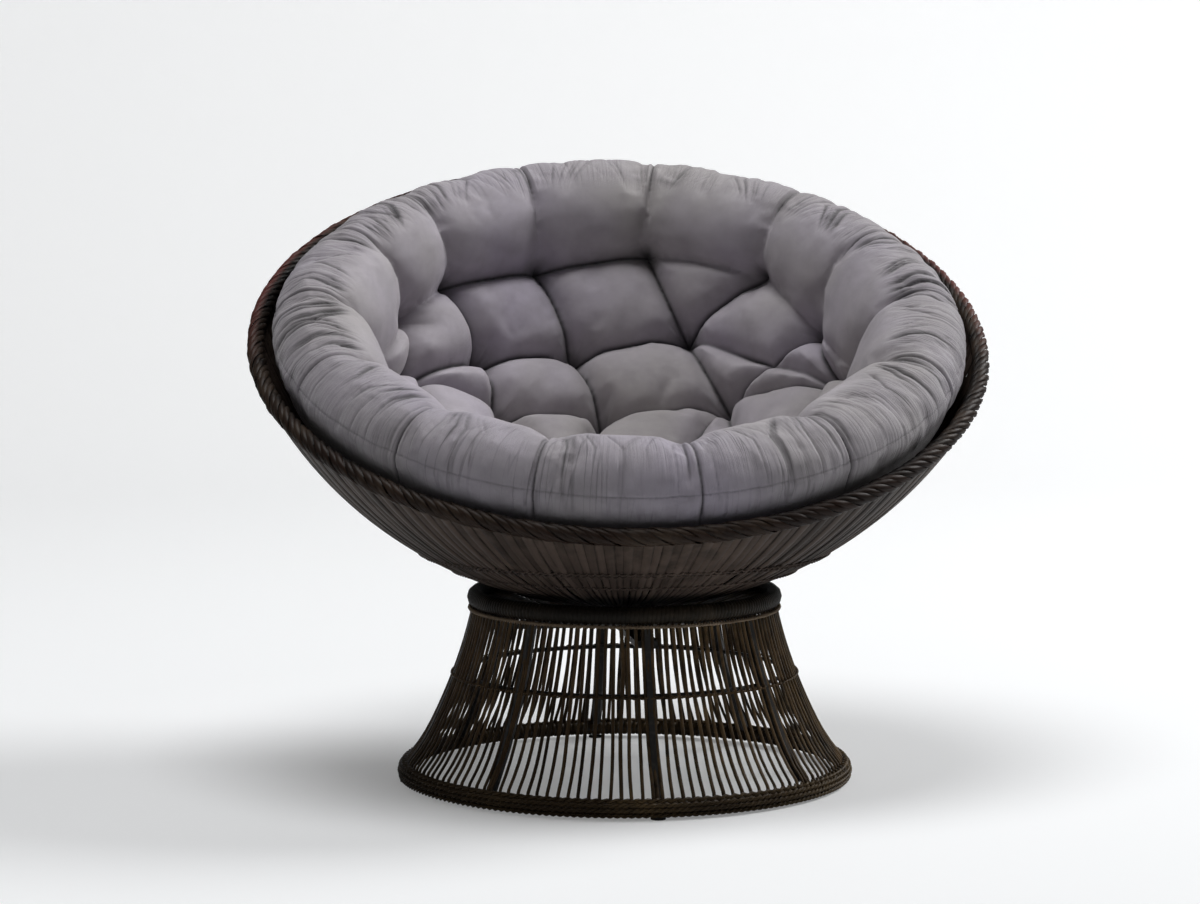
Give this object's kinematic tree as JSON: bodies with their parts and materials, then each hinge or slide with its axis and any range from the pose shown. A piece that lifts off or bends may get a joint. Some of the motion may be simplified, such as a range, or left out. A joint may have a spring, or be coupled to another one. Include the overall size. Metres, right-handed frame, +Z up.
{
  "type": "papasan chair",
  "caption": "Round woven bowl chair, tilted forward, on a swivel above a waisted woven base, with a deep tufted cushion that lifts out.",
  "frame": {"origin": "on the floor, under the centre of the bowl's rim, which is also the centre of the chair's box seen from above", "axes": "+Z up, +Y towards the back of the bowl, so a sitter faces -Y; seen from the front, +X is to the right"},
  "size_m": [1.04, 0.9262, 0.8498],
  "materials": {
    "cane": "satin, dark brown strands",
    "cane_light": "satin, mid brown cord",
    "braid": "satin, dark brown braid",
    "black_steel": "satin black paint",
    "zinc_steel": "zinc plated",
    "glide_rubber": "matt black",
    "cloth": "warm grey twill"
  },
  "bodies": {
    "base": {"base_bottom_ring": "black_steel", "base_collar_wrap": "braid", "base_glide_1": "glide_rubber", "base_glide_2": "glide_rubber", "base_glide_3": "glide_rubber", "base_glide_4": "glide_rubber", "base_lower_braid": "braid", "base_mid_hoop": "black_steel", "base_post_1": "black_steel", "base_post_2": "black_steel", "base_post_3": "black_steel", "base_post_4": "black_steel", "base_post_5": "black_steel", "base_post_6": "black_steel", "base_post_7": "black_steel", "base_post_8": "black_steel", "base_top_ring": "black_steel", "base_upper_trim": "cane_light", "base_weave_bay_1": "cane", "base_weave_bay_2": "cane", "base_weave_bay_3": "cane", "base_weave_bay_4": "cane", "base_weave_bay_5": "cane", "base_weave_bay_6": "cane", "base_weave_bay_7": "cane", "base_weave_bay_8": "cane", "crossbar_half_1": "black_steel", "crossbar_half_2": "black_steel", "crossbar_long": "black_steel", "lower_plate_bolt_1": "zinc_steel", "lower_plate_bolt_2": "zinc_steel", "lower_plate_bolt_3": "zinc_steel", "lower_plate_bolt_4": "zinc_steel", "swivel_ball_cage": "zinc_steel", "swivel_lower_plate": "zinc_steel", "swivel_pivot_rivet": "zinc_steel"},
    "bowl": {"bowl_hoop": "black_steel", "bowl_hub_pan": "black_steel", "bowl_rib_1": "black_steel", "bowl_rib_2": "black_steel", "bowl_rib_3": "black_steel", "bowl_rib_4": "black_steel", "bowl_rib_5": "black_steel", "bowl_rib_6": "black_steel", "bowl_rib_7": "black_steel", "bowl_rib_8": "black_steel", "bowl_rim_braid": "braid", "bowl_rim_tube": "black_steel", "bowl_twine_ring": "cane_light", "bowl_weave": "cane", "swivel_upper_plate": "zinc_steel", "upper_plate_bolt_1": "zinc_steel", "upper_plate_bolt_2": "zinc_steel", "upper_plate_bolt_3": "zinc_steel", "upper_plate_bolt_4": "zinc_steel"},
    "cushion": {"seat_cushion": "cloth"}
  },
  "joints": [
    {"name": "bowl_swivel", "type": "hinge", "parent": "base", "child": "bowl", "pos_m": [0, -0.1, 0.2244], "axis": [0, 0, 1], "continuous": true},
    {"name": "cushion_lift", "type": "slide", "parent": "bowl", "child": "cushion", "axis": [0, -0.4586, 0.8886], "range_m": [0, 0.35]}
  ]
}
